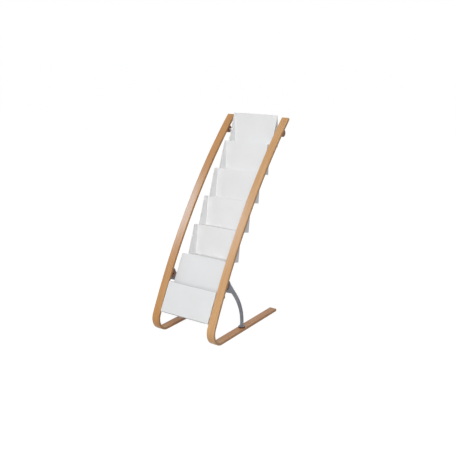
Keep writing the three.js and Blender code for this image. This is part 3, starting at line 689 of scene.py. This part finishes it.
def head_face(fastener):
    """The larger of the two flat ends, which all the rest of the fastener lies behind."""
    ends = []
    for face in fastener.data.polygons:
        level = face.center.dot(face.normal) + NEAR
        behind = all(corner.co.dot(face.normal) < level for corner in fastener.data.vertices)
        if len(face.vertices) >= HEAD_CORNERS and behind:
            ends.append(face)
    return max(ends, key=lambda face: face.area)


steel = bright_metal_material("Plain steel", STEEL_TONES)
white_enamel = moulding_material("White enamel", TRAY_TONES)
recess_bit = model_recess_bit()
for node in FASTENER_NODES:
    fastener = merged_copy(node)
    break_edges(fastener, FASTENER_EDGE)
    head = head_face(fastener)
    size = min(math.sqrt(head.area / math.pi) / HEAD_CROWN, RECESS_LARGEST)
    turn = head.normal.to_track_quat("Z", "Y").to_matrix().to_4x4()
    place = Matrix.Translation(head.center) @ turn @ Matrix.Scale(size, 4)
    cut_away(fastener, placed_copy(recess_bit, place))
    smooth_faces(fastener, FASTENER_SMOOTH)
    fastener.data.materials.append(white_enamel if node.startswith("hanger") else steel)
bpy.data.objects.remove(recess_bit)


# Studio: a pale floor that runs out to a white background, a soft surround that is brightest at the
# left, a large light at the front right, a cool card of light that only shows as a sheen, and the
# camera at the photograph's viewpoint.
FLOOR_SIZE = 60
FLOOR_GREY = (0.55, 0.55, 0.55, 1)
FLOOR_SEEN = (0.15, 0.15, 0.15, 1)
FLOOR_GLOW = 0.94
# Each side of the surround: its axis, the way along it, and its strength
SURROUND_FRONT = (1, -1, 0.70)
SURROUND_RIGHT = (0, 1, 0.72)
SURROUND_LEFT = (0, -1, 1.00)
SURROUND_BACK = (1, 1, 0.30)
SURROUND_TOP = (2, 1, 0.10)
SURROUND = (SURROUND_FRONT, SURROUND_RIGHT, SURROUND_LEFT, SURROUND_BACK, SURROUND_TOP)
LIGHT_AIM = Vector((-0.15, -0.053, 0.51))
# Each light: name, watts, width, distance, direction, colour, and whether it lights matt faces
LIGHTS = (
    ("Front light", 82, 1.8, 3.8, Vector((0.42, -0.78, 0.46)), (1.00, 1.00, 1.00), True),
    ("Sheen light", 70, 0.9, 3.0, Vector((-0.650, -0.460, 0.625)), (0.52, 0.78, 1.00), False),
)
CAMERA_PLACE = (1.70239, -2.20921, 1.25388)
CAMERA_TURN = math.radians(34.284)
CAMERA_PITCH = math.radians(15.221)
CAMERA_LENS = 53.86
CAMERA_SENSOR = 36
CAMERA_REACH = 200


def seen_rays(tree):
    """One for rays from the camera and for those reflected or passed through to it."""
    path = add_node(tree, "ShaderNodeLightPath")
    seen = math_node(tree, "MAXIMUM", path.outputs["Is Camera Ray"], path.outputs["Is Glossy Ray"])
    return math_node(tree, "MAXIMUM", seen, path.outputs["Is Transmission Ray"])


def floor_material():
    material = bpy.data.materials.new("Pale floor")
    material.use_nodes = True
    tree = material.node_tree
    tree.nodes.clear()
    plain = add_node(tree, "ShaderNodeBsdfDiffuse")
    plain.inputs["Color"].default_value = FLOOR_GREY
    shaded = add_node(tree, "ShaderNodeBsdfDiffuse")
    shaded.inputs["Color"].default_value = FLOOR_SEEN
    glow = add_node(tree, "ShaderNodeEmission")
    glow.inputs["Strength"].default_value = FLOOR_GLOW
    seen = add_node(tree, "ShaderNodeAddShader")
    tree.links.new(shaded.outputs[0], seen.inputs[0])
    tree.links.new(glow.outputs[0], seen.inputs[1])
    choice = add_node(tree, "ShaderNodeMixShader")
    tree.links.new(seen_rays(tree), choice.inputs[0])
    tree.links.new(plain.outputs[0], choice.inputs[1])
    tree.links.new(seen.outputs[0], choice.inputs[2])
    out = add_node(tree, "ShaderNodeOutputMaterial")
    tree.links.new(choice.outputs[0], out.inputs["Surface"])
    return material


bpy.ops.object.select_all(action="DESELECT")
bpy.ops.mesh.primitive_plane_add(size=FLOOR_SIZE, location=(0, 0, 0))
floor = bpy.context.object
floor.name = "floor"
floor.data.materials.append(floor_material())

world = bpy.data.worlds.new("Studio")
bpy.context.scene.world = world
world.use_nodes = True
backdrop = world.node_tree.nodes["Background"]
backdrop.inputs["Color"].default_value = (1, 1, 1, 1)
towards = add_node(world.node_tree, "ShaderNodeSeparateXYZ")
around = add_node(world.node_tree, "ShaderNodeTexCoord")
world.node_tree.links.new(around.outputs["Generated"], towards.inputs[0])
surround = 0.0
for axis, sign, strength in SURROUND:
    facing = math_node(world.node_tree, "MULTIPLY", towards.outputs[axis], sign)
    facing = math_node(world.node_tree, "MAXIMUM", facing, 0.0)
    share = math_node(world.node_tree, "MULTIPLY", facing, facing)
    surround = math_node(world.node_tree, "MULTIPLY_ADD", share, strength, surround)
level = mix_values(world.node_tree, seen_rays(world.node_tree), surround, 1.0)
world.node_tree.links.new(level, backdrop.inputs["Strength"])

for name, power, size, distance, direction, tint, lights_matt in LIGHTS:
    lamp = bpy.data.lights.new(name, "AREA")
    lamp.energy = power
    lamp.size = size
    lamp.color = tint
    light = bpy.data.objects.new(name, lamp)
    bpy.context.scene.collection.objects.link(light)
    light.location = LIGHT_AIM + distance * direction.normalized()
    light.rotation_euler = (-direction).to_track_quat("-Z", "Y").to_euler()
    light.visible_diffuse = lights_matt

rail_front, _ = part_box("rail_left")
lens = bpy.data.cameras.new("Camera")
lens.lens = CAMERA_LENS
lens.sensor_width = CAMERA_SENSOR
lens.clip_end = CAMERA_REACH
camera = bpy.data.objects.new("Camera", lens)
bpy.context.scene.collection.objects.link(camera)
camera.location = Vector(CAMERA_PLACE) + Vector((0, rail_front.y + RAIL_BEND_RADIUS, 0))
camera.rotation_euler = (math.pi / 2 - CAMERA_PITCH, 0, CAMERA_TURN)
bpy.context.scene.camera = camera
bpy.context.scene.view_settings.view_transform = "Standard"
